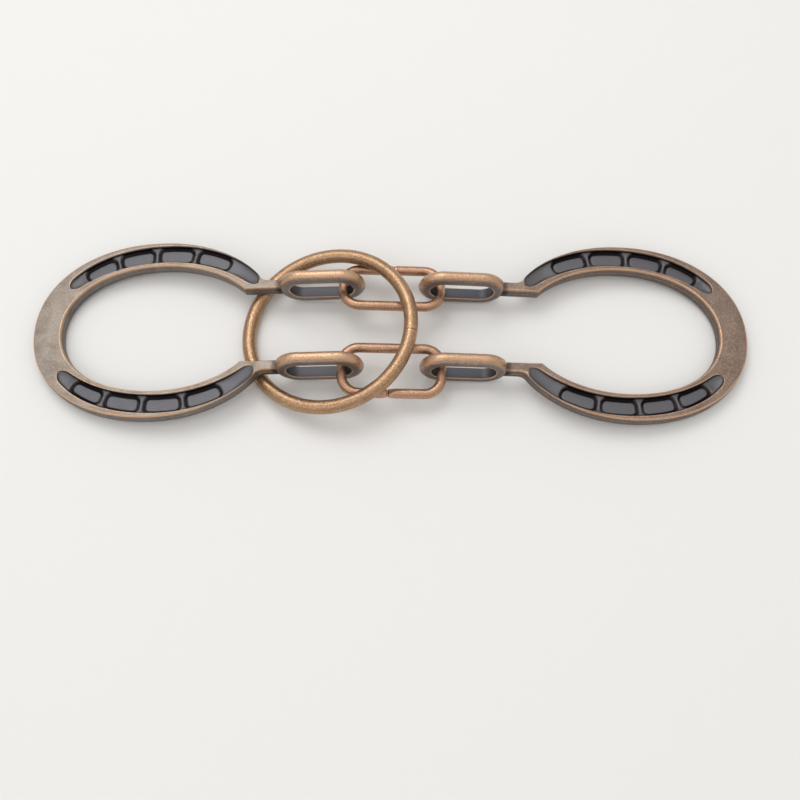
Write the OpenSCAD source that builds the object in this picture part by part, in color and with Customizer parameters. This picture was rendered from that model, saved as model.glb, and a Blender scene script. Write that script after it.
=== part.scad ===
// Horseshoe puzzle: two cast horseshoes, two wire links and one loose ring.
// Millimetres, +Z up. The shoes lie along X, toes outwards, with the origin
// on the ground under the middle of the whole puzzle.

/* [Horseshoe] */
// Thickness of the flat shoe
plate_t = 3.0; // [2.6:0.1:3.2]
// Distance from the eye's middle to the shoe's widest place
shoe_mid = 36.8; // [36.5:0.1:37.1]
// Widest place to the toe, outside
toe_reach = 27.5; // [27:0.1:28]
// Widest place to the end of the heel curve, outside
heel_reach = 27.6; // [27.4:0.1:27.8]
// Half of the shoe's width, outside
shoe_half_w = 21.6; // [21.4:0.1:21.9]
// Fullness of the toe curves, 2 for a plain ellipse
fullness = 2.12; // [2:0.02:2.2]
// Distance from the eye's middle to the widest place of the opening
open_mid = 36; // [35.8:0.1:36.2]
// Half length of the opening towards the toe
open_toe = 21.8; // [21.4:0.1:22]
// Half length of the opening's curve towards the stems
open_heel = 22.8; // [22.5:0.1:23]
// Half width of the opening
open_half_w = 15.2; // [15:0.1:15.4]
// Length of the hollow where the heel curve meets the stem
neck_l = 1.4; // [1:0.1:1.8]

/* [Groove] */
// Greatest width of the crescent groove on each arm
groove_w = 4.4; // [4:0.1:4.6]
// Depth of the groove over the ribs
groove_d = 0.9; // [0.6:0.1:1.1]
// Depth of the nail pockets in the groove
pocket_d = 1.4; // [1.2:0.1:1.6]
// Width of a nail pocket
pocket_w = 4; // [3.6:0.1:4.2]

/* [Eye] */
// Distance between the two eyes' middle planes
eye_pitch = 19.8; // [19.6:0.1:20]
// Length of an eye
eye_l = 19.4; // [19.2:0.1:19.8]
// Height of an eye
eye_h = 11; // [10.9:0.1:11.1]
// Thickness of an eye, and height of its bars
eye_t = 2.6; // [2.5:0.1:2.7]
// Gap between the free ends of the two pairs of eyes
eye_gap = 12; // [11.9:0.1:12.2]

/* [Links] */
// Diameter of the link wire
link_wire = 2.2; // [2:0.1:2.3]
// Length of a link
link_l = 24; // [23.6:0.1:24.2]
// Width of a link
link_w = 12.3; // [12:0.1:12.6]
// Corner radius on the wire's middle line
link_corner_r = 3.85; // [3.2:0.05:4]
// Height of the links' middles
link_z = 5.45; // [5.4:0.05:5.5]
// Fall of the links towards the right shoe
link_fall = 2.1; // [2:0.1:2.2]
// Lean of the rear link, outer side down
rear_lean = 9.5; // [9:0.1:10]
// Lean of the front link, outer side down
front_lean = 9.5; // [8:0.1:10]
// Distance of the front link beyond its eyes' middle plane
front_shift = 0.6; // [0:0.1:0.7]

/* [Ring] */
// Outside diameter of the ring
ring_od = 40.1; // [40:0.1:40.2]
// Diameter of the ring wire
ring_wire = 3.1; // [3:0.1:3.1]
// Place of the ring's middle along the puzzle
ring_x = -13.9; // [-14.1:0.1:-13.7]
// Place of the ring's middle across the puzzle
ring_y = -0.7; // [-0.8:0.1:-0.4]
// Tilt of the ring, with its left side on the ground
ring_tilt = 12.8; // [12.8:0.1:13]

/* [Rest] */
// Tilt of the right shoe, which stands on its eyes and its toe
right_tilt = 3.9; // [3.9:0.1:4]
// Tilt of the left shoe, whose stems lie over the ring
left_tilt = 4.7; // [4.7:0.1:4.8]
// Sideways shift of each shoe, the left one forwards
side_shift = 0.15; // [0:0.05:0.2]

/* [Hidden] */

copper = [0.62, 0.45, 0.32];
dark_copper = [0.45, 0.38, 0.34];
round_steps = 96;
wire_steps = 32;
cut = 0.1;

// Eye: bars of D section around a slot with round ends
bar = eye_t;
slot_r = eye_h / 2 - bar;
arc_x = (eye_l - eye_h) / 2;
eye_y = eye_pitch / 2;
stem_in = eye_y - eye_t / 2 + 0.1;
stem_out = eye_y + eye_t / 2 - 0.1;
stem_end = arc_x + slot_r + 1.1;

// Shoe: the toe is at the largest x, and x = 0 is the middle of the eyes
toe_x = shoe_mid + toe_reach;
open_angle = asin(stem_in / open_half_w);
neck_angle = 146;
neck_x = shoe_mid - heel_reach * sqrt(1 - pow(stem_out / shoe_half_w, 2));

// Groove: a band along an oval half-way between the two outlines, a little nearer the eyes
groove_back = 1.2;
groove_mid = (shoe_mid + open_mid) / 2 - groove_back;
groove_reach = [(toe_reach + open_toe) / 2 + groove_back, (heel_reach + open_heel) / 2];
groove_half_w = (shoe_half_w + open_half_w) / 2;
groove_from = 37;
groove_to = 142;
groove_taper = 0.35;
pocket_spans = [[44.5, 63.5], [66, 82.8], [85.4, 102.4], [105, 124.2]];

// Links and ring
link_half_l = (link_l - link_wire) / 2;
link_half_w = (link_w - link_wire) / 2;
ring_r = (ring_od - ring_wire) / 2;
ring_z = ring_wire / 2 + ring_r * sin(ring_tilt);
rear_seam = [0.4, 0.12];
front_seam = [-0.8, 0.3];
ring_seam = [-7, 0.12];

// Point of an oval with its own reach towards the toe and towards the eyes
function oval(mid, reach, half_w, a) =
    let (power = cos(a) > 0 ? 2 / fullness : 1,
         along = cos(a) > 0 ? reach[0] * pow(cos(a), power) : reach[1] * cos(a))
    [mid + along, half_w * pow(abs(sin(a)), power) * sign(sin(a))];

// Points of an oval between two angles
function oval_arc(mid, reach, half_w, from, to, steps) =
    [for (i = [0:steps]) oval(mid, reach, half_w, from + (to - from) * i / steps)];

// Points of a curve that leaves p along p-q and reaches r along q-r
function bend(p, q, r, steps) =
    [for (i = [1:steps]) let (t = i / steps) (1 - t) * (1 - t) * p + 2 * t * (1 - t) * q + t * t * r];

// Unit vector square to a groove's middle line
function across(a) =
    let (reach = cos(a) > 0 ? groove_reach[0] : groove_reach[1],
         n = [groove_half_w * cos(a), reach * sin(a)])
    n / norm(n);

// Share of its full width that the groove has at an angle
function swell(a) = 1 - groove_taper * pow(abs(a - 90) / 54, 3);

function groove_point(a, offset) =
    oval(groove_mid, groove_reach, groove_half_w, a) + offset * swell(a) * across(a);

// Outline of a band along the groove's middle line
function groove_band(w, from, to, steps) = concat(
    [for (i = [0:steps]) groove_point(from + (to - from) * i / steps, w / 2)],
    [for (i = [steps:-1:0]) groove_point(from + (to - from) * i / steps, -w / 2)]
);

// Points of the half circle that closes a band, on its far end (side = 1) or near end (side = -1)
function groove_cap(w, a, side, steps) =
    let (n = across(a) * side, r = w / 2 * swell(a), middle = groove_point(a, 0))
    [for (i = [1:steps - 1])
        let (turn = 180 * i / steps)
        middle + r * (cos(turn) * n + sin(turn) * [-n[1], n[0]])];

// Outline of the whole groove: a band with round ends
function groove_outline(w, from, to, steps) =
    let (band = groove_band(w, from, to, steps))
    concat(
        [for (i = [0:steps]) band[i]],
        groove_cap(w, to, 1, 12),
        [for (i = [steps + 1:2 * steps + 1]) band[i]],
        groove_cap(w, from, -1, 12)
    );

module both_sides() {
    children();
    mirror([0, 1, 0])
        children();
}

// Flat outline of the shoe, from one eye round the toe to the other
module shoe_outline() {
    outer = oval_arc(shoe_mid, [toe_reach, heel_reach], shoe_half_w, 0, neck_angle, 60);
    neck = bend(outer[60], [neck_x, stem_out], [neck_x - neck_l, stem_out], 6);
    stem = [[stem_end, stem_out], [stem_end, stem_in]];
    inner = oval_arc(open_mid, [open_toe, open_heel], open_half_w, 180 - open_angle, 0, 48);
    both_sides()
        polygon(concat(outer, neck, stem, inner));
}

// One crescent groove with four nail pockets
module groove() {
    translate([0, 0, plate_t / 2 - groove_d])
        linear_extrude(groove_d + cut)
            polygon(groove_outline(groove_w, groove_from, groove_to, 36));
    for (span = pocket_spans)
        translate([0, 0, plate_t / 2 - pocket_d])
            linear_extrude(pocket_d - groove_d + cut)
                polygon(groove_band(pocket_w, span[0], span[1], 8));
}

// Section of an eye's bar: flat inside, round outside, r = 0 at the slot's wall
module bar_section() {
    translate([0, -eye_t / 2])
        square([bar / 2, eye_t]);
    translate([bar / 2, 0])
        circle(d = eye_t, $fn = round_steps);
}

module eye_end() {
    rotate([90, 0, 0])
        rotate([0, 0, -90])
            rotate_extrude(angle = 180, $fn = round_steps)
                translate([slot_r, 0])
                    bar_section();
}

module eye_bar() {
    translate([-arc_x, 0, slot_r])
        rotate([90, 0, 90])
            linear_extrude(2 * arc_x)
                rotate(90)
                    bar_section();
}

// Upright eye with a long slot, in the plane square to the shoe
module eye() {
    translate([0, eye_y, 0]) {
        translate([arc_x, 0, 0])
            eye_end();
        mirror([1, 0, 0])
            translate([arc_x, 0, 0])
                eye_end();
        eye_bar();
        mirror([0, 0, 1])
            eye_bar();
    }
}

// One casting: the shoe, its two stems and its two eyes
module horseshoe() {
    difference() {
        union() {
            translate([0, 0, -plate_t / 2])
                linear_extrude(plate_t)
                    shoe_outline();
            both_sides()
                eye();
        }
        both_sides()
            groove();
    }
}

// Moves a shoe so that it stands on its toe and leans on its eyes
module stand(tilt) {
    toe_drop = toe_x * sin(tilt) + plate_t / 2 * cos(tilt);
    translate([eye_gap / 2 + eye_l / 2, 0, toe_drop])
        rotate([0, tilt, 0])
            children();
}

module wire_corner() {
    rotate_extrude(angle = 90, $fn = round_steps)
        translate([link_corner_r, 0])
            circle(d = link_wire, $fn = wire_steps);
}

// Oblong link of bent wire, with the butt of its ends in the side at +Y
module link(seam) {
    cx = link_half_l - link_corner_r;
    cy = link_half_w - link_corner_r;
    difference() {
        for (mx = [0, 1], my = [0, 1])
            mirror([mx, 0, 0])
                mirror([0, my, 0]) {
                    translate([cx, cy, 0])
                        wire_corner();
                    translate([0, link_half_w, 0])
                        rotate([0, 90, 0])
                            cylinder(d = link_wire, h = cx, $fn = wire_steps);
                    translate([link_half_l, 0, 0])
                        rotate([-90, 0, 0])
                            cylinder(d = link_wire, h = cy, $fn = wire_steps);
                }
        translate([seam[0] - seam[1] / 2, link_half_w - link_wire, -link_wire])
            cube([seam[1], 2 * link_wire, 2 * link_wire]);
    }
}

module left_horseshoe() {
    color(dark_copper)
        translate([0, -side_shift, 0])
            mirror([1, 0, 0])
                stand(left_tilt)
                    horseshoe();
}

module right_horseshoe() {
    color(dark_copper)
        translate([0, side_shift, 0])
            stand(right_tilt)
                horseshoe();
}

module rear_link() {
    color(copper)
        translate([0, eye_y, link_z])
            rotate([0, link_fall, 0])
                rotate([-rear_lean, 0, 0])
                    link(rear_seam);
}

module front_link() {
    color(copper)
        translate([0, -eye_y - front_shift, link_z])
            rotate([0, link_fall, 0])
                rotate([front_lean, 0, 0])
                    mirror([0, 1, 0])
                        link(front_seam);
}

module loose_ring() {
    color(copper)
        translate([ring_x, ring_y, ring_z])
            rotate([0, -ring_tilt, 0])
                difference() {
                    rotate_extrude($fn = 2 * round_steps)
                        translate([ring_r, 0])
                            circle(d = ring_wire, $fn = wire_steps);
                    rotate([0, 0, ring_seam[0]])
                        translate([ring_r - ring_wire, -ring_seam[1] / 2, -ring_wire])
                            cube([2 * ring_wire, ring_seam[1], 2 * ring_wire]);
                }
}

left_horseshoe();
right_horseshoe();
rear_link();
front_link();
loose_ring();
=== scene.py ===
"""Looks of a horseshoe puzzle: two cast horseshoes, two links of bent wire and one loose ring.

Each shape is worked out in millimetres in its own frame, moved to its place at rest and stored in
metres.
"""

import logging
from dataclasses import dataclass
from enum import Enum
from typing import Sequence

import bpy
import numpy as np
from mathutils import Matrix, Vector


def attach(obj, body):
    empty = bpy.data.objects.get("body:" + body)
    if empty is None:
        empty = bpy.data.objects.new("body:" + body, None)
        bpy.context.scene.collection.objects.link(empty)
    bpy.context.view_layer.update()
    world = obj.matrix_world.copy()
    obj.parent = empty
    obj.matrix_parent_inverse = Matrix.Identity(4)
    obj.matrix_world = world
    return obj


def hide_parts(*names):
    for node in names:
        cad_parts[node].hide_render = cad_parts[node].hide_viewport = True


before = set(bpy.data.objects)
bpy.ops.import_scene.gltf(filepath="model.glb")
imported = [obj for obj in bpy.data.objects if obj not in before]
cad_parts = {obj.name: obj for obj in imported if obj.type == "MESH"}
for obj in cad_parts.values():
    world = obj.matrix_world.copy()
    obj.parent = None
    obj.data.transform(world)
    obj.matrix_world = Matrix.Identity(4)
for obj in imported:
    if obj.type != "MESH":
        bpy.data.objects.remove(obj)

LOG = logging.getLogger("horseshoe_puzzle")
MM = 0.001
FINISH_AND_SHADE_LAYER = "finish_and_shade"

Array = np.ndarray


class Side(Enum):
    """Which half of the puzzle a horseshoe belongs to; the value is the way its toe points along X."""

    LEFT = -1
    RIGHT = 1


class Tone(Enum):
    """Channels of the layer that each mesh carries: worn, blackened with painted shade, and grey."""

    WORN = 0
    BLACKENED_AND_SHADE = 1
    GREY = 2


@dataclass
class Shell:
    """A closed skin: points in millimetres, quads, end caps, and each point's worn, blackened and grey."""

    points: Array
    quads: Array
    caps: list[list[int]]
    tones: Array

    def moved(self, turn: Array, shift: Sequence[float]) -> "Shell":
        """Turns the shell by a 3x3 matrix and shifts it; a mirroring matrix also reverses the faces.

        Args:
            turn: matrix that multiplies column points.
            shift: millimetres along X, Y and Z.
        Returns:
            The moved shell.
        """
        flip = -1 if np.linalg.det(turn) < 0 else 1
        caps = [cap[::flip] for cap in self.caps]
        return Shell(self.points @ turn.T + np.asarray(shift), self.quads[:, ::flip], caps, self.tones)


def join(shells: Sequence[Shell]) -> Shell:
    """Puts several shells into one.

    Args:
        shells: the shells to join.
    Returns:
        One shell with all the points and faces.
    """
    starts = np.cumsum([0] + [len(s.points) for s in shells])
    quads = np.concatenate([s.quads + start for s, start in zip(shells, starts)])
    caps = [[i + int(start) for i in cap] for s, start in zip(shells, starts) for cap in s.caps]
    points = np.concatenate([s.points for s in shells])
    return Shell(points, quads, caps, np.concatenate([s.tones for s in shells]))


def grid_quads(rows: int, columns: int, ring: bool) -> Array:
    """Faces of a grid whose columns close on themselves.

    Args:
        rows: number of sections along the path.
        columns: number of points round each section.
        ring: whether the last section joins the first one.
    Returns:
        Corner numbers, four to a face.
    """
    row = np.arange(rows if ring else rows - 1)[:, None]
    column = np.arange(columns)[None, :]
    onward, beside = (row + 1) % rows, (column + 1) % columns
    corners = [row * columns + column, onward * columns + column,
               onward * columns + beside, row * columns + beside]
    return np.stack([np.broadcast_to(c, (row.size, columns)) for c in corners], axis=-1).reshape(-1, 4)


def grid_shell(points: Array, tones: Array, ring: bool) -> Shell:
    """Skin over a grid of sections, open ends closed with a flat cap, faces outwards.

    The sum of a . (b x c) over the faces' triangles is six times the volume. If it is negative, the
    faces look inwards and are reversed.

    Args:
        points: rows x columns x 3, millimetres.
        tones: rows x columns x 3.
        ring: whether the last section joins the first one.
    Returns:
        The closed shell.
    """
    rows, columns = points.shape[:2]
    quads = grid_quads(rows, columns, ring)
    last = (rows - 1) * columns
    caps = [] if ring else [list(range(columns)), list(range(last, last + columns))[::-1]]
    flat = points.reshape(-1, 3)
    middle = flat.mean(axis=0)
    a, b, c, d = (flat[quads[:, i]] - middle for i in range(4))
    volume_six = np.einsum("ij,ij->", a, np.cross(b, c)) + np.einsum("ij,ij->", a, np.cross(c, d))
    if volume_six < 0:
        quads = quads[:, ::-1]
        caps = [cap[::-1] for cap in caps]
    return Shell(flat, quads, caps, tones.reshape(-1, 3))


def smooth(x: Array) -> Array:
    """Eased step: 0 below 0, 1 above 1, x x (3 - 2 x) between."""
    x = np.clip(x, 0, 1)
    return x * x * (3 - 2 * x)


def turn_about_y(degrees: float) -> Array:
    """Matrix of a turn about Y that takes +Z towards +X."""
    c, s = np.cos(np.radians(degrees)), np.sin(np.radians(degrees))
    return np.array([[c, 0, s], [0, 1, 0], [-s, 0, c]])


def turn_about_x(degrees: float) -> Array:
    """Matrix of a turn about X that takes +Y towards +Z."""
    c, s = np.cos(np.radians(degrees)), np.sin(np.radians(degrees))
    return np.array([[1, 0, 0], [0, c, -s], [0, s, c]])


def make_piece(name: str, shell: Shell, material: bpy.types.Material) -> bpy.types.Object:
    """Makes a Blender object of a shell, in metres, with its tone layer (worn, blackened with painted shade,
    grey) and material.

    Args:
        name: the object's name.
        shell: the skin, millimetres.
        material: what it is made of.
    Returns:
        The linked object, at the origin.
    """
    mesh = bpy.data.meshes.new(name)
    mesh.from_pydata((shell.points * MM).tolist(), [], shell.quads.tolist() + shell.caps)
    mesh.shade_smooth()
    layer = mesh.color_attributes.new(FINISH_AND_SHADE_LAYER, "FLOAT_COLOR", "POINT")
    values = np.ones((len(shell.points), 4), np.float32)
    values[:, :3] = np.clip(shell.tones, 0, 1)
    layer.data.foreach_set("color", values.ravel())
    mesh.materials.append(material)
    mesh.validate()
    piece = bpy.data.objects.new(name, mesh)
    bpy.context.scene.collection.objects.link(piece)
    return piece


# Copper finishes, with painted shade


@dataclass(frozen=True)
class AntiqueCopper:
    """Copper plate that was blackened and then rubbed bright where it stands proud; its black also carries
    painted shade in hollows, corners and undersides.
    """

    name: str
    face: tuple[float, float, float]
    stain: tuple[float, float, float]
    bright: tuple[float, float, float]
    grey: tuple[float, float, float] = (0.135, 0.134, 0.145)
    black: tuple[float, float, float] = (0.014, 0.013, 0.022)
    face_rough: float = 0.42
    bright_rough: float = 0.3
    speckle: float = 0.35
    grain_depth: float = 0.00006
    metallic: float = 0.92
    refraction: float = 1.5
    cloud_scale: float = 260
    speckle_scale: float = 2600
    grain_scale: float = 5200
    cloud_window: tuple[float, float] = (0.42, 0.68)
    freckle_window: tuple[float, float, float] = (0.56, 0.4, 0.45)
    speckle_window: tuple[float, float] = (0.5, 0.64)
    worn_window: tuple[float, float] = (0.2, 1.0)
    worn_break_up: float = 1.7
    rough_spread: float = 0.16
    bump_strength: float = 0.6

    def material(self) -> bpy.types.Material:
        """Builds the material: stain and speckle over the face colour, then worn, grey, and blackened
        places, the blackened ones partly painted shade.

        Returns:
            The material.
        """
        made = bpy.data.materials.new(self.name)
        made.use_nodes = True
        tree = made.node_tree
        shader = tree.nodes["Principled BSDF"]
        shader.inputs["Metallic"].default_value = self.metallic
        shader.inputs["IOR"].default_value = self.refraction
        place = tree.nodes.new("ShaderNodeTexCoord").outputs["Object"]
        layer = tree.nodes.new("ShaderNodeAttribute")
        layer.attribute_name = FINISH_AND_SHADE_LAYER
        tones = tree.nodes.new("ShaderNodeSeparateColor")
        tree.links.new(layer.outputs["Color"], tones.inputs["Color"])

        clouds = self.noise(tree, place, scale=self.cloud_scale, detail=5, rough=0.62)
        speckle = self.noise(tree, place, scale=self.speckle_scale, detail=3, rough=0.7)
        grain = self.noise(tree, place, scale=self.grain_scale, detail=2, rough=0.6)

        stains = self.window(tree, clouds, *self.cloud_window)
        stained = self.blend(tree, stains, self.face, self.stain)
        freckles = self.window(tree, grain, *self.freckle_window)
        freckled = self.blend(tree, freckles, stained, self.stain)
        specks = self.window(tree, speckle, *self.speckle_window, self.speckle)
        speckled = self.blend(tree, specks, freckled, self.bright)
        broken = self.maths(tree, "MULTIPLY_ADD", speckle, self.worn_break_up, -self.worn_break_up / 2)
        worn = self.maths(tree, "ADD", broken, tones.outputs[Tone.WORN.value])
        worn = self.window(tree, worn, *self.worn_window)
        rubbed = self.blend(tree, worn, speckled, self.bright)
        greyed = self.blend(tree, tones.outputs[Tone.GREY.value], rubbed, self.grey)
        # Black over the blackened places and over the painted shade.
        deep = self.blend(tree, tones.outputs[Tone.BLACKENED_AND_SHADE.value], greyed, self.black)
        tree.links.new(deep, shader.inputs["Base Color"])

        rough = self.ramp_number(tree, worn, self.face_rough, self.bright_rough)
        rough = self.maths(tree, "MULTIPLY_ADD", grain, self.rough_spread, rough)
        rough = self.maths(tree, "SUBTRACT", rough, self.rough_spread / 2)
        tree.links.new(rough, shader.inputs["Roughness"])

        bump = tree.nodes.new("ShaderNodeBump")
        bump.inputs["Strength"].default_value = self.bump_strength
        bump.inputs["Distance"].default_value = self.grain_depth
        tree.links.new(self.maths(tree, "ADD", grain, speckle), bump.inputs["Height"])
        tree.links.new(bump.outputs["Normal"], shader.inputs["Normal"])
        return made

    @staticmethod
    def noise(tree: bpy.types.NodeTree, place: bpy.types.NodeSocket, scale: float, detail: float,
              rough: float) -> bpy.types.NodeSocket:
        """Fractal noise on the piece's own coordinates.

        Args:
            tree: the material's nodes.
            place: coordinates in metres.
            scale: cells per metre.
            detail: number of finer layers.
            rough: share of each finer layer.
        Returns:
            A number from 0 to 1.
        """
        made = tree.nodes.new("ShaderNodeTexNoise")
        made.inputs["Scale"].default_value = scale
        made.inputs["Detail"].default_value = detail
        made.inputs["Roughness"].default_value = rough
        tree.links.new(place, made.inputs["Vector"])
        return made.outputs["Fac"]

    @staticmethod
    def maths(tree: bpy.types.NodeTree, operation: str, *values: object) -> bpy.types.NodeSocket:
        """Math node on sockets and numbers.

        Args:
            tree: the material's nodes.
            operation: the node's operation.
            values: what it takes, each a socket or a number.
        Returns:
            Its result.
        """
        made = tree.nodes.new("ShaderNodeMath")
        made.operation = operation
        for socket, value in zip(made.inputs, values):
            if isinstance(value, bpy.types.NodeSocket):
                tree.links.new(value, socket)
            else:
                socket.default_value = value
        return made.outputs[0]

    @staticmethod
    def window(tree: bpy.types.NodeTree, value: bpy.types.NodeSocket, low: float, high: float,
               most: float = 1.0) -> bpy.types.NodeSocket:
        """Stretches a number so that low becomes 0 and high becomes the most.

        Args:
            tree: the material's nodes.
            value: the number.
            low: where the result starts.
            high: where it stops.
            most: the result at and above high.
        Returns:
            The stretched number.
        """
        made = tree.nodes.new("ShaderNodeMapRange")
        made.inputs["From Min"].default_value = low
        made.inputs["From Max"].default_value = high
        made.inputs["To Max"].default_value = most
        tree.links.new(value, made.inputs["Value"])
        return made.outputs["Result"]

    @classmethod
    def ramp_number(cls, tree: bpy.types.NodeTree, value: bpy.types.NodeSocket, start: float,
                    end: float) -> bpy.types.NodeSocket:
        """Number that runs from start to end as value runs from 0 to 1."""
        return cls.maths(tree, "MULTIPLY_ADD", value, end - start, start)

    @staticmethod
    def blend(tree: bpy.types.NodeTree, share: bpy.types.NodeSocket, first: object,
              second: object) -> bpy.types.NodeSocket:
        """Blends two colours.

        Args:
            tree: the material's nodes.
            share: how much of the second.
            first: a colour or a socket.
            second: a colour or a socket.
        Returns:
            The blended colour.
        """
        made = tree.nodes.new("ShaderNodeMix")
        made.data_type = "RGBA"
        colours = [s for s in made.inputs if s.type == "RGBA"]
        tree.links.new(share, made.inputs[0])
        for socket, colour in zip(colours, (first, second)):
            if isinstance(colour, bpy.types.NodeSocket):
                tree.links.new(colour, socket)
            else:
                socket.default_value = (*colour, 1)
        return next(s for s in made.outputs if s.type == "RGBA")


# The two castings share one copper in a lighter grey and a darker brown copy; the difference is painted
# light for the uneven light on the two shoes.
GREY_CAST = AntiqueCopper("cast_copper_grey", face=(0.34, 0.305, 0.27), stain=(0.21, 0.178, 0.15),
                          bright=(0.66, 0.41, 0.25), bright_rough=0.22, speckle=0.3, grain_depth=0.00008)
BROWN_CAST = AntiqueCopper("cast_copper_brown", face=(0.285, 0.215, 0.175), stain=(0.18, 0.13, 0.108),
                           bright=(0.64, 0.4, 0.25), bright_rough=0.22, speckle=0.36, grain_depth=0.00008)
WIRE_COPPER = AntiqueCopper("wire_copper", face=(0.43, 0.245, 0.155), stain=(0.32, 0.18, 0.11),
                            bright=(0.62, 0.38, 0.25), face_rough=0.28, bright_rough=0.22, speckle=0.3)
RING_COPPER = AntiqueCopper("ring_copper", face=(0.37, 0.222, 0.125), stain=(0.26, 0.15, 0.085),
                            bright=(0.6, 0.39, 0.235), face_rough=0.28, bright_rough=0.22, speckle=0.32)


# Cast horseshoes


@dataclass(frozen=True)
class Oval:
    """An oval with its own reach towards the toe and towards the eyes, fuller than an ellipse at the toe."""

    middle: float
    toe: float
    heel: float
    half_width: float
    fullness: float = 2.12

    def at(self, degrees: Array) -> Array:
        """Points at given angles: reach cos^(2/n), half width sin^(2/n), with n = 2 on the heel half.

        Args:
            degrees: angles, 0 at the toe.
        Returns:
            Points, n x 2.
        """
        c, s = np.cos(np.radians(degrees)), np.sin(np.radians(degrees))
        power = np.where(c > 0, 2 / self.fullness, 1)
        along = np.where(c > 0, self.toe, -self.heel) * np.abs(c) ** power
        return np.stack([self.middle + along, self.half_width * np.abs(s) ** power * np.sign(s)], axis=-1)


@dataclass(frozen=True)
class Sampling:
    """How many points each line has before the rows are laid along it."""

    line: int = 2881
    curve: int = 81
    stem_line: int = 101
    inner: int = 5000
    inner_stem: int = 800
    outer: int = 6000
    outer_bend: int = 200
    outer_stem: int = 400


SAMPLES = Sampling()
FARTHEST_EDGE = 9
NO_EDGE = 99


@dataclass(frozen=True)
class NailGroove:
    """Crescent groove of one arm, with four pockets between three ribs and a ramp at each end."""

    width: float = 4.4
    depth: float = 0.9
    first_angle: float = 37
    last_angle: float = 142
    taper: float = 0.35
    taper_span: float = 54
    rib_power: float = 3.2
    ramp_power_drop: float = 1.0
    ramp_power_rise: float = 1.6
    ramp_extra: float = 0.15
    ramp_extra_rise: float = 2.6
    ramp_fall: float = 2.2
    wall_overlap: float = 0.1
    tone_depth: float = 0.3
    pocket_depth: float = 1.25
    pocket_width: float = 4.2
    pocket_corner: float = 1.6
    moat_depth: float = 1.75
    wall_run: float = 0.46
    moat_run: float = 0.52
    pad_run: float = 0.76
    cap_length: float = 1.35
    pockets: tuple[tuple[float, float], ...] = ((44.2, 64.1), (65.3, 83.5), (84.7, 103.2), (104.4, 124.8))

    def half_width(self, degrees: Array) -> Array:
        """Half the groove's width: w/2 (1 - taper (|a - 90| / span)^3)."""
        return self.width / 2 * (1 - self.taper * (np.abs(degrees - 90) / self.taper_span) ** 3)

    def ends(self, angle: Array, along: Array) -> tuple[Array, Array]:
        """Finds the round ends of the groove along one arm.

        Args:
            angle: angles of the arm's rows.
            along: lengths from the toe of the arm's rows.
        Returns:
            Where the centres of the two ends lie along the arm, and their radii.
        """
        angles = np.array([self.first_angle, self.last_angle])
        return np.interp(angles, angle, along), self.half_width(angles)


@dataclass(frozen=True)
class Bow:
    """What the rows of a horseshoe's bow are: middle points, outward directions and reaches along them."""

    middle: Array
    outward: Array
    inner: Array
    outer: Array
    groove: Array
    along: Array
    angle: Array


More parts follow.
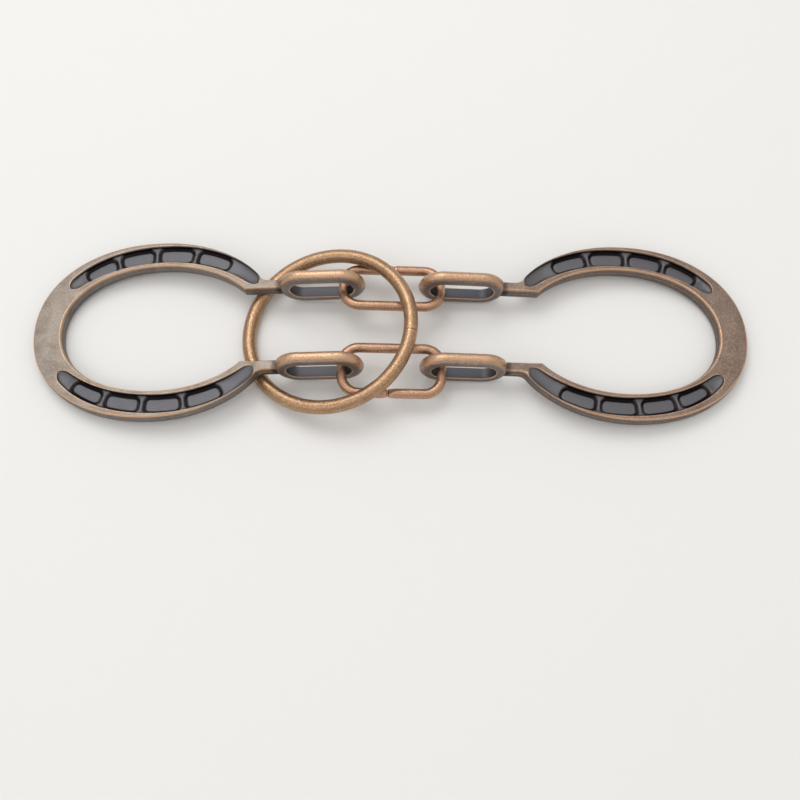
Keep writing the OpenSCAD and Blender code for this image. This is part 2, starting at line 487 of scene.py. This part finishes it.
@dataclass
class Horseshoe:
    """One casting: the shoe, its two stems and its two upright eyes."""

    side: Side
    finish_and_shade: AntiqueCopper
    tilt: float
    shift: float
    node: str
    body: str
    thickness: float = 3.0
    outline: Oval = Oval(36.8, 27.5, 27.6, 21.6)
    opening: Oval = Oval(36, 21.8, 22.8, 15.2)
    groove_line: Oval = Oval(35.2, 25.85, 25.2, 18.4)
    groove: NailGroove = NailGroove()
    neck_angle: float = 146
    neck_length: float = 1.4
    stem_inside: float = 8.7
    stem_outside: float = 11.1
    stem_end: float = 8.2
    eye_pitch: float = 19.8
    eye_length: float = 19.4
    eye_height: float = 11
    eye_thickness: float = 2.6
    eye_gap: float = 12
    eye_bevel: float = 0.14
    seam_height: float = 0.05
    seam_width: float = 0.16
    crown_worn: float = 0.92
    line_end: float = 144
    line_run: float = 1.0
    root_reach: float = 2.4
    root_run: float = 0.9
    row_pitch: float = 0.17
    groove_columns: int = 35
    column_crowding: float = 0.12
    least_groove: float = 0.3

    def bow_middle(self) -> tuple[Array, Array, Array, Array]:
        """Middle line of one arm, from the toe to inside the eye.

        It follows the groove's oval, then a quadratic curve, then the stem's middle, in even steps.

        Returns:
            Points n x 2, unit normals away from the opening n x 2, lengths from the toe, angles on the oval.
        """
        angles = np.linspace(0, self.line_end, SAMPLES.line)
        oval = self.groove_line.at(angles)
        stem_y = self.eye_pitch / 2
        leave, heading = oval[-1], oval[-1] - oval[-2]
        corner = leave + heading * (stem_y - leave[1]) / heading[1]
        arrive = np.array([corner[0] - self.line_run, stem_y])
        t = np.linspace(0, 1, SAMPLES.curve)[1:, None]
        curve = (1 - t) ** 2 * leave + 2 * t * (1 - t) * corner + t ** 2 * arrive
        stem_x = np.linspace(arrive[0], self.stem_end, SAMPLES.stem_line)[1:]
        stem = np.stack([stem_x, np.full_like(stem_x, stem_y)], axis=-1)
        line = np.concatenate([oval, curve, stem])
        reach = np.concatenate([[0], np.cumsum(np.linalg.norm(np.diff(line, axis=0), axis=1))])
        line_angle = np.concatenate([angles, np.full(len(line) - len(angles), angles[-1])])
        steps = np.linspace(0, reach[-1], int(reach[-1] / self.row_pitch))
        points = np.stack([np.interp(steps, reach, line[:, i]) for i in range(2)], axis=-1)
        slope = np.gradient(line, reach, axis=0)
        tangent = np.stack([np.interp(steps, reach, slope[:, i]) for i in range(2)], axis=-1)
        tangent /= np.linalg.norm(tangent, axis=1, keepdims=True)
        tangent[0] = (0, 1)
        normal = np.stack([tangent[:, 1], -tangent[:, 0]], axis=-1)
        return points, normal, steps, np.interp(steps, reach, line_angle)

    @staticmethod
    def reach_to(points: Array, normal: Array, edge: Array, way: int) -> Array:
        """Distance from each middle point to an outline along the normal, by the outline's nearest sample.

        Args:
            points: middle points, n x 2.
            normal: unit normals, n x 2.
            edge: closely spaced points of the outline, m x 2.
            way: 1 for the outer outline, -1 for the inner one.
        Returns:
            Signed distances, n.
        """
        gap = edge[None] - points[:, None]
        ahead = np.einsum("nmk,nk->nm", gap, normal)
        aside = np.abs(gap[..., 0] * normal[:, None, 1] - gap[..., 1] * normal[:, None, 0])
        aside = np.where((ahead * way > 0) & (np.abs(ahead) < FARTHEST_EDGE), aside, NO_EDGE)
        return np.take_along_axis(ahead, aside.argmin(axis=1)[:, None], axis=1)[:, 0]

    def bow_rows(self) -> Bow:
        """Works out the rows of the bow, from one eye round the toe to the other.

        Returns:
            The rows.
        """
        middle, normal, along, angle = self.bow_middle()
        open_end = 180 - np.degrees(np.arcsin(self.stem_inside / self.opening.half_width))
        inner = self.opening.at(np.linspace(0, open_end, SAMPLES.inner))
        past_end = self.stem_end - 1
        inner_stem = np.linspace(inner[-1], (past_end, self.stem_inside), SAMPLES.inner_stem)
        outer = self.outline.at(np.linspace(0, self.neck_angle, SAMPLES.outer))
        neck_y = self.stem_outside
        neck_share = np.sqrt(1 - (neck_y / self.outline.half_width) ** 2)
        neck_x = self.outline.middle - self.outline.heel * neck_share
        t = np.linspace(0, 1, SAMPLES.outer_bend)[:, None]
        bend_end = np.array([neck_x - self.neck_length, neck_y])
        bend = (1 - t) ** 2 * outer[-1] + 2 * t * (1 - t) * np.array([neck_x, neck_y]) + t ** 2 * bend_end
        outer_stem = np.linspace(bend_end, (past_end, neck_y), SAMPLES.outer_stem)
        reach_in = self.reach_to(middle, normal, np.concatenate([inner, inner_stem]), -1)
        reach_out = self.reach_to(middle, normal, np.concatenate([outer, bend, outer_stem]), 1)
        reach_in[0], reach_out[0] = reach_in[1], reach_out[1]

        groove = self.groove
        ends, radius = groove.ends(angle, along)
        tips = ends + radius * (-1, 1)
        from_tip = np.minimum(along - tips[0], tips[1] - along)
        cap = np.where(along < ends.mean(), radius[0], radius[1]) * groove.cap_length
        width = groove.half_width(angle) * np.sqrt(np.clip(1 - np.clip(1 - from_tip / cap, 0, 1) ** 2, 0, 1))

        back = slice(None, 0, -1)
        mirror = np.array([1, -1])
        return Bow(np.concatenate([middle[back] * mirror, middle]),
                   np.concatenate([normal[back] * mirror, normal]),
                   *(np.concatenate([v[back], v]) for v in (reach_in, reach_out, width, along, angle)))

    def groove_depth(self, bow: Bow, offset: Array) -> tuple[Array, Array]:
        """Depth and tones of the groove's surface.

        The ramps and ribs are half pipes, D (1 - |t|^p)^(1/p), where t is the share of the half width
        and p falls from 3.2 at the ribs to 2.2 at the groove's ends.
        A pocket's depth goes by the distance inside a rectangle with round corners: wall, moat, then pad.

        Args:
            bow: the rows.
            offset: distance across from the groove's middle line, rows x columns.
        Returns:
            Depth below the face in millimetres, and tones, rows x columns x 3.
        """
        groove = self.groove
        half = bow.groove[:, None]
        arm = bow.along[len(bow.along) // 2:]
        arm_angle = bow.angle[len(bow.angle) // 2:]
        spans = np.interp(np.array(groove.pockets), arm_angle, arm)
        ends, radius = groove.ends(arm_angle, arm)
        tip = ends + radius * (-1, 1)
        along = bow.along[:, None]
        to_tip = np.where(along < spans.mean(), (spans[0, 0] - along) / (spans[0, 0] - tip[0]),
                          (along - spans[-1, 1]) / (tip[1] - spans[-1, 1]))
        to_tip = np.clip(to_tip, 0, 1)
        share = np.clip(np.abs(offset) / np.maximum(half, 1e-6), 0, 1)
        power = groove.rib_power - groove.ramp_power_drop * smooth(to_tip * groove.ramp_power_rise)
        hollow = (1 - share ** power) ** (1 / power)
        ramp = np.sqrt(np.clip(1 - to_tip ** groove.ramp_fall, 0, 1))
        extra = groove.ramp_extra * smooth(to_tip * groove.ramp_extra_rise)
        deepest = (groove.depth + extra) * ramp
        depth = np.where(half > 1e-3, deepest * hollow, 0)

        inside = np.full_like(depth, -9.0)
        for start, end in spans:
            box_x = np.abs(along - (start + end) / 2) - (end - start) / 2 + groove.pocket_corner
            box_y = np.abs(offset) - groove.pocket_width * half / groove.width + groove.pocket_corner
            outside = np.hypot(np.maximum(box_x, 0), np.maximum(box_y, 0))
            within = groove.pocket_corner - outside - np.minimum(np.maximum(box_x, box_y), 0)
            inside = np.maximum(inside, within)
        overlap = groove.wall_overlap
        to_moat = smooth((inside + overlap) / (groove.wall_run + overlap))
        to_pad = smooth((inside - groove.moat_run) / (groove.pad_run - groove.moat_run))
        depth = depth + (groove.moat_depth - depth) * to_moat
        depth = depth + (groove.pocket_depth - depth) * to_pad

        hollowed = smooth(depth / groove.tone_depth)
        # Blackened patina and painted shade together: the steep groove walls, the moat round each pad and
        # the sides of the ribs are made black.
        walls = hollowed * (1 - smooth((0.9 - share) / 0.12)) * (1 - 0.4 * to_tip)
        rib = smooth(depth / 0.4) * (1 - to_moat)
        black = np.maximum(walls, to_moat * (1 - to_pad))
        black = np.maximum(black, 0.3 * rib * smooth((share - 0.5) / 0.4))
        return depth, np.stack([np.zeros_like(depth), black, hollowed * (1 - black)], axis=-1)

    def bow(self) -> Shell:
        """Builds the shoe and its stems.

        Each row is a closed section across the arm: the inner wall with its parting line, the rounded
        rim, the groove, the outer rim and wall, and the plain underside. A row of wall holds the distance
        in from the edge and the height as a share of half the thickness; rim holds distances from the
        groove's edge.

        Returns:
            The closed shell.
        """
        bow = self.bow_rows()
        top = self.thickness / 2
        groove_half = np.maximum(bow.groove, self.least_groove)
        column = np.linspace(-1, 1, self.groove_columns)
        column = column * (1 + self.column_crowding * (1 - column ** 2))
        offset = groove_half[:, None] * column
        depth, groove_tones = self.groove_depth(bow, offset)

        wall = np.array([(0.34, -1), (0.12, -0.955), (0.05, -0.86), (0.02, -0.4), (0, -0.12), (0, 0.0),
                         (0.09, 0.05), (0.1, 0.4), (0.13, 0.7), (0.2, 0.85), (0.31, 0.945), (0.46, 0.99),
                         (0.62, 1)])
        # Tones up the side wall: the dark grey on its faces is partly painted shade, for faces that turn
        # sideways and down; its edges are rubbed bright.
        wall_tones = np.array([(0.2, 0, 0.4), (0.6, 0, 0.2), (0.1, 0.1, 0.5), (0, 0.25, 0.6), (0, 0.3, 0.5),
                               (0.6, 0, 0.2), (0, 0.35, 0.3), (0, 0.3, 0.2), (0.15, 0.1, 0.1), (1, 0, 0),
                               (1, 0, 0), (0.7, 0, 0), (0, 0.05, 0)])
        rim = np.array([0.26, 0.12, 0.035])
        rim_height = np.array([0, 0.012, 0.05])
        rim_tones = np.array([(0, 0.05, 0), (0.6, 0, 0), (1, 0, 0)])

        sections, heights, tones = [], [], []
        for reach, sign in ((bow.inner, -1), (bow.outer, 1)):
            land = np.abs(reach) - groove_half
            squeeze = np.minimum(1, land / 1.0)[:, None]
            across = np.concatenate([np.abs(reach)[:, None] - wall[:, 0] * squeeze,
                                     groove_half[:, None] + rim * squeeze], axis=1)
            grooved = smooth(bow.groove / 0.5)[:, None]
            wall_height = np.tile(wall[:, 1] * top, (len(reach), 1))
            height = np.concatenate([wall_height, top - rim_height * grooved], axis=1)
            tone = np.tile(np.concatenate([wall_tones, rim_tones]), (len(reach), 1, 1))
            tone[:, len(wall):] *= grooved[..., None]
            order = slice(None) if sign < 0 else slice(None, None, -1)
            sections.append((sign * across)[:, order])
            heights.append(height[:, order])
            tones.append(tone[:, order])
        across = np.concatenate([sections[0], offset, sections[1]], axis=1)
        height = np.concatenate([heights[0], top - depth, heights[1]], axis=1)
        tone = np.concatenate([tones[0], groove_tones, tones[1]], axis=1)
        flat = bow.middle[:, None] + across[..., None] * bow.outward[:, None]
        # Painted shade: the stem is darkened where it runs into the eye.
        root = smooth((self.stem_end + self.root_reach - flat[..., 0]) / self.root_run)
        tone[..., Tone.BLACKENED_AND_SHADE.value] += 0.6 * root
        return grid_shell(np.concatenate([flat, height[..., None]], axis=-1), tone, ring=False)

    def eye(self) -> Shell:
        """Builds one eye: a D section carried round a slot with round ends, with a fine parting line.

        A point is centre(s) + r (cos p(s), sin p(s)); the centre and p are straight-line functions of s.

        Returns:
            The closed shell, centred on the origin in the XZ plane.
        """
        bar = self.eye_thickness
        slot = self.eye_height / 2 - bar
        arc_x = (self.eye_length - self.eye_height) / 2
        half = bar / 2
        swing = np.radians(np.linspace(90, -90, 27))
        bevel = self.eye_bevel
        face_r = np.linspace(bevel, half, 5)[:-1]
        wall_y = np.linspace(-half + bevel, half - bevel, 7)
        radius = np.concatenate([np.zeros(7), [bevel * 0.3], face_r, half + half * np.cos(swing),
                                 face_r[::-1], [bevel * 0.3]])
        width = np.concatenate([wall_y, [half - bevel * 0.3], np.full(4, half), half * np.sin(swing),
                                np.full(4, -half), [-half + bevel * 0.3]])
        round_worn = self.crown_worn * np.clip(1.15 * np.cos(swing) ** 0.8 + 0.05, 0, 1)
        face_worn = [1, 0.9, 0.15, 0, 0.1]
        worn = np.concatenate([np.zeros(7), face_worn, round_worn, face_worn[::-1]])
        grey = np.concatenate([np.ones(7), [0], [0, 0.5, 0.55, 0.5], 0.5 * (1 - round_worn),
                               [0.5, 0.55, 0.5, 0], [0]])
        black = np.concatenate([np.full(7, 0.35), np.zeros(len(worn) - 7)])

        arc = np.linspace(0, 1, 61)
        straight = np.linspace(0, 1, 23)[1:-1]
        hold = np.ones_like(straight)
        turn = np.concatenate([180 * arc - 90, 90 * hold, 180 * arc + 90, 270 * hold])
        centre = arc_x * np.concatenate([np.ones_like(arc), 1 - 2 * straight, -np.ones_like(arc),
                                         2 * straight - 1])
        turn = np.radians(turn)[:, None]
        on_arc = np.abs(centre[:, None]) > arc_x - 0.01
        seam = np.exp(-(np.sin(turn) * (slot + bar) / self.seam_width) ** 2) * on_arc
        grown = radius + slot + self.seam_height * seam * smooth((radius - half) / half)
        points = np.stack([centre[:, None] + grown * np.cos(turn), np.broadcast_to(width, grown.shape),
                           grown * np.sin(turn)], axis=-1)
        # Painted shade: the rounded underside of the lower bar is painted darker and greyer and kept from
        # the rubbed bright.
        below = smooth(-points[..., 2] / 0.15) * smooth((radius - half) / half)
        tone = np.stack([worn * (1 - 0.55 * below), black + 0.1 * below, grey + 0.3 * below], axis=-1)
        return grid_shell(points, tone, ring=True)

    def place(self, shell: Shell) -> Shell:
        """Stands the casting on its toe and eyes and moves it to its side of the puzzle.

        Args:
            shell: the casting in its own frame, toe along +X.
        Returns:
            The casting at rest.
        """
        eye_x = (self.eye_gap + self.eye_length) / 2
        toe = self.outline.middle + self.outline.toe
        angle = np.radians(self.tilt)
        lift = toe * np.sin(angle) + self.thickness / 2 * np.cos(angle)
        standing = shell.moved(turn_about_y(self.tilt), (eye_x, 0, lift))
        return standing.moved(np.diag([self.side.value, 1, 1]), (0, self.shift, 0))

    def build(self) -> bpy.types.Object:
        """Builds, dresses and seats the casting.

        Returns:
            The finished piece.
        """
        half_pitch = self.eye_pitch / 2
        eye = self.eye()
        eyes = [eye.moved(np.eye(3), (0, y, 0)) for y in (half_pitch, -half_pitch)]
        shell = self.place(join([self.bow(), *eyes]))
        piece = make_piece(self.node + "_casting", shell, self.finish_and_shade.material())
        return seat(piece, self.body, self.node)


# Bent wire


@dataclass
class BentWire:
    """Round wire bent to a closed shape, with a butt joint where its two ends meet."""

    node: str
    body: str
    finish_and_shade: AntiqueCopper
    wire: float
    seam_gap: float
    seam_bevel: float
    pinch: float
    place_turn: Array
    place_shift: tuple[float, float, float]
    columns: int = 32
    row_pitch: float = 0.22
    end_shrink: float = 0.22
    nip_reach: float = 2.2
    chisel_slope: float = 3.6
    soot_reach: float = 0.3
    soot: float = 0.7
    rubbed: float = 0.45
    end_rubbed: float = 0.35
    end_rubbed_run: float = 0.35

    def knots(self) -> tuple[Array, Array, Array, Array]:
        """Lengths, centres' x and y, and turns in degrees, at the corners of the path."""
        raise NotImplementedError

    def bend_radius(self) -> float:
        """Radius of the bends on the wire's middle line."""
        raise NotImplementedError

    def shell(self) -> Shell:
        """Carries a round section along the path.

        The middle line is centre(s) + R (cos p(s), sin p(s)), the centre and p straight-line functions
        of s. Within the bevel b of an end the radius is r (1 - shrink (1 - d / b)^2), d the distance to
        the end, and the wire is nipped to a chisel's slope.

        Returns:
            The closed shell in the wire's own frame, lying in the XY plane.
        """
        length, centre_x, centre_y, turn = self.knots()
        total = length[-1]
        radius = self.wire / 2
        start, end = self.seam_gap / 2, total - self.seam_gap / 2
        fine = self.seam_bevel * np.array([0, 0.06, 0.2, 0.45, 0.8, 1.2, 1.8, 2.6])
        body = np.linspace(start + fine[-1] + 0.05, end - fine[-1] - 0.05, int(total / self.row_pitch))
        s = np.concatenate([start + fine, body, end - fine[::-1]])
        p = np.radians(np.interp(s, length, turn))
        bend = self.bend_radius()
        middle = np.stack([np.interp(s, length, centre_x) + bend * np.cos(p),
                           np.interp(s, length, centre_y) + bend * np.sin(p)], axis=-1)
        to_end = np.minimum(s - start, end - s)
        short = np.clip(1 - to_end / self.seam_bevel, 0, 1)
        nipped = self.nip_reach * self.seam_bevel
        nip = 1 - self.pinch * np.exp(-(to_end / nipped) ** 2)
        ripple = 1 + 0.006 * np.sin(s * 1.7) + 0.004 * np.sin(s * 4.1 + 1)
        size = radius * (1 - self.end_shrink * short ** 2) * np.minimum(ripple, 1)
        around = np.linspace(0, 2 * np.pi, self.columns, endpoint=False)
        out = (size * nip)[:, None] * np.cos(around)
        chisel = 1 - self.pinch * self.chisel_slope * np.clip(1 - to_end / nipped, 0, 1)
        up = size[:, None] * np.sin(around)
        up = np.where(up > 0, up * chisel[:, None], up)
        points = np.stack([middle[:, :1] + out * np.cos(p)[:, None],
                           middle[:, 1:] + out * np.sin(p)[:, None], up], axis=-1)
        black = np.exp(-(to_end / (self.soot_reach * self.seam_bevel)) ** 2) * self.soot
        edge_rubbed = np.exp(-((to_end - self.seam_bevel) / self.end_rubbed_run) ** 2)
        worn = self.rubbed + self.end_rubbed * edge_rubbed
        tones = np.stack([worn, black, np.zeros_like(black)], axis=-1)
        return grid_shell(points, np.repeat(tones[:, None], self.columns, axis=1), ring=False)

    def build(self) -> bpy.types.Object:
        """Builds, dresses and seats the wire.

        Returns:
            The finished piece.
        """
        shell = self.shell().moved(self.place_turn, self.place_shift)
        piece = make_piece(self.node + "_wire", shell, self.finish_and_shade.material())
        return seat(piece, self.body, self.node)


@dataclass
class OblongLink(BentWire):
    """Oblong link, a rectangle with round corners, whose ends meet in one long side."""

    length: float = 24
    width: float = 12.3
    corner: float = 3.85
    seam_x: float = 0

    def bend_radius(self) -> float:
        """Radius of the four corners."""
        return self.corner

    def knots(self) -> tuple[Array, Array, Array, Array]:
        """Path from the joint round the link: straights hold the turn, corners hold the centre.

        Returns:
            Lengths, centres' x and y, and turns in degrees.
        """
        x = (self.length - self.wire) / 2 - self.corner
        y = (self.width - self.wire) / 2 - self.corner
        arc = self.corner * np.pi / 2
        centre_x = np.array([self.seam_x, -x, -x, -x, -x, x, x, x, x, self.seam_x])
        centre_y = np.array([y, y, y, -y, -y, -y, -y, y, y, y])
        turn = np.array([90, 90, 180, 180, 270, 270, 360, 360, 450, 450])
        moved = np.hypot(np.diff(centre_x), np.diff(centre_y))
        steps = moved + np.where(np.diff(turn) > 0, arc, 0)
        return np.concatenate([[0], np.cumsum(steps)]), centre_x, centre_y, turn


@dataclass
class LooseRing(BentWire):
    """The ring that the puzzle frees; its joint is a hairline."""

    outside: float = 40.1
    seam_angle: float = -7

    def bend_radius(self) -> float:
        """Radius of the ring on the wire's middle line."""
        return (self.outside - self.wire) / 2

    def knots(self) -> tuple[Array, Array, Array, Array]:
        """One full turn about a centre that stays put.

        Returns:
            Lengths, centres' x and y, and turns in degrees.
        """
        total = 2 * np.pi * self.bend_radius()
        still = np.zeros(2)
        return np.array([0, total]), still, still, np.array([0, 360]) + self.seam_angle


# Setting


def seat(piece: bpy.types.Object, body: str, node: str) -> bpy.types.Object:
    """Makes a piece move with its body and stand for its plain solid.

    Args:
        piece: the finished piece.
        body: the body that carries it.
        node: the plain solid that it replaces.
    Returns:
        The same piece.
    """
    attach(piece, body)
    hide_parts(node)
    return piece


@dataclass
class Studio:
    """Pale table that curves up far away, two soft lamps above it, and light from all round.

    Each lamp has a name, a place and a diameter in metres, and its watts.
    """

    table_colour: tuple[float, float, float] = (0.83, 0.82, 0.805)
    flat_radius: float = 0.9
    rim_radius: float = 2.6
    rise: float = 1.4
    hub_radius: float = 0.02
    spokes: int = 64
    zenith: float = 1.06
    horizon: float = 0.26
    lamps: tuple[tuple[str, tuple[float, float, float], float, float], ...] = (
        ("window", (-0.14, 0.3, 0.56), 0.4, 1.15),
        ("fill", (-0.45, -0.35, 0.55), 0.4, 0.35),
    )

    def table(self) -> bpy.types.Object:
        """Builds the table: z = rise ((r - flat) / (rim - flat))^2 beyond the flat part.

        Returns:
            The table, staged.
        """
        radius = np.concatenate([np.linspace(self.hub_radius, self.flat_radius, 12),
                                 np.linspace(self.flat_radius, self.rim_radius, 16)[1:]])
        around = np.linspace(0, 2 * np.pi, self.spokes, endpoint=False)
        beyond = (radius - self.flat_radius) / (self.rim_radius - self.flat_radius)
        climb = np.clip(beyond, 0, 1)[:, None] ** 2 * self.rise
        x, y = radius[:, None] * np.cos(around), radius[:, None] * np.sin(around)
        points = np.stack([x, y, np.broadcast_to(climb, x.shape)], axis=-1).reshape(-1, 3)
        quads = grid_quads(len(radius), self.spokes, False).tolist()
        mesh = bpy.data.meshes.new("table")
        mesh.from_pydata(points.tolist(), [], quads + [list(range(self.spokes))])
        mesh.shade_smooth()
        made = bpy.data.materials.new("table_paper")
        made.use_nodes = True
        shader = made.node_tree.nodes["Principled BSDF"]
        shader.inputs["Base Color"].default_value = (*self.table_colour, 1)
        shader.inputs["Roughness"].default_value = 0.85
        shader.inputs["Specular IOR Level"].default_value = 0.15
        mesh.materials.append(made)
        table = bpy.data.objects.new("table", mesh)
        bpy.context.scene.collection.objects.link(table)
        return table

    def light(self) -> None:
        """Hangs the lamps, aims them at the puzzle and sets the even light."""
        for name, place, size, power in self.lamps:
            lamp = bpy.data.lights.new(name, "AREA")
            lamp.shape = "DISK"
            lamp.size = size
            lamp.energy = power
            hung = bpy.data.objects.new(name, lamp)
            hung.location = place
            hung.rotation_euler = (-Vector(place)).to_track_quat("-Z", "Y").to_euler()
            bpy.context.scene.collection.objects.link(hung)
        world = bpy.data.worlds.new("even_light")
        world.use_nodes = True
        tree = world.node_tree
        glow = tree.nodes["Background"]
        glow.inputs["Color"].default_value = (1, 0.995, 0.985, 1)
        height = tree.nodes.new("ShaderNodeSeparateXYZ")
        upward = tree.nodes.new("ShaderNodeTexCoord").outputs["Generated"]
        tree.links.new(upward, height.inputs["Vector"])
        ramp = tree.nodes.new("ShaderNodeMapRange")
        ramp.inputs["To Min"].default_value = self.horizon
        ramp.inputs["To Max"].default_value = self.zenith
        tree.links.new(height.outputs["Z"], ramp.inputs["Value"])
        tree.links.new(ramp.outputs["Result"], glow.inputs["Strength"])
        bpy.context.scene.world = world
        bpy.context.scene.view_settings.view_transform = "Standard"


@dataclass(frozen=True)
class Viewpoint:
    """Camera above and in front of the puzzle, looking steeply down."""

    place: tuple[float, float, float] = (-0.361, -99.594, 203.928)
    dip: float = 67.488
    swing: float = 1.541
    roll: float = 1.86
    lens: float = 45
    film: float = 36

    def build(self) -> bpy.types.Object:
        """Makes the camera and gives it to the scene.

        Returns:
            The camera.
        """
        dip, swing, roll = np.radians((self.dip, self.swing, self.roll))
        ahead = Vector((np.sin(swing) * np.cos(dip), np.cos(swing) * np.cos(dip), -np.sin(dip)))
        right = Vector((np.cos(swing), -np.sin(swing), 0))
        up = right.cross(ahead)
        level_x = right * np.cos(roll) + up * np.sin(roll)
        level_y = up * np.cos(roll) - right * np.sin(roll)
        data = bpy.data.cameras.new("camera")
        data.lens = self.lens
        data.sensor_width = self.film
        data.clip_start = 0.005
        camera = bpy.data.objects.new("camera", data)
        turn = Matrix((level_x, level_y, -ahead)).transposed().to_4x4()
        camera.matrix_world = Matrix.Translation(Vector(self.place) * MM) @ turn
        bpy.context.scene.collection.objects.link(camera)
        bpy.context.scene.camera = camera
        return camera


def puzzle_pieces() -> list[Horseshoe | BentWire]:
    """Lists the puzzle's five pieces with their sizes and places.

    Returns:
        The pieces, not built yet.
    """
    link_z, link_y, fall, lean = 5.45, 9.9, turn_about_y(2.1), 9.5
    front_y = -link_y - 0.6
    mirrored = np.diag([1.0, -1.0, 1.0])
    link = dict(finish_and_shade=WIRE_COPPER, wire=2.2)
    ring_outside, ring_wire, ring_tilt = 40.1, 3.1, 12.8
    ring_z = ring_wire / 2 + (ring_outside - ring_wire) / 2 * np.sin(np.radians(ring_tilt))
    return [
        Horseshoe(Side.LEFT, GREY_CAST, tilt=4.7, shift=-0.15, node="left_horseshoe", body="left_shoe"),
        Horseshoe(Side.RIGHT, BROWN_CAST, tilt=3.9, shift=0.15, node="right_horseshoe", body="right_shoe"),
        OblongLink("rear_link", "rear_link", **link, seam_gap=0.05, seam_bevel=0.22, pinch=0.03,
                   place_turn=fall @ turn_about_x(-lean), place_shift=(0, link_y, link_z), seam_x=0.4),
        OblongLink("front_link", "front_link", **link, seam_gap=0.08, seam_bevel=0.5, pinch=0.12,
                   place_turn=fall @ turn_about_x(lean) @ mirrored, place_shift=(0, front_y, link_z),
                   seam_x=-0.8),
        LooseRing("loose_ring", "ring", RING_COPPER, ring_wire, seam_gap=0.03, seam_bevel=0.09, pinch=0.0,
                  place_turn=turn_about_y(-ring_tilt), place_shift=(-13.9, -0.7, ring_z), columns=40,
                  outside=ring_outside),
    ]


def main() -> None:
    """Builds the setting and the five pieces."""
    logging.basicConfig(level=logging.INFO, format="%(message)s")
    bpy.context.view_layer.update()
    Viewpoint().build()
    studio = Studio()
    studio.table()
    studio.light()
    for piece in puzzle_pieces():
        made = piece.build()
        LOG.info("%s: %d points, %d faces", made.name, len(made.data.vertices), len(made.data.polygons))


if __name__ == "__main__":
    main()
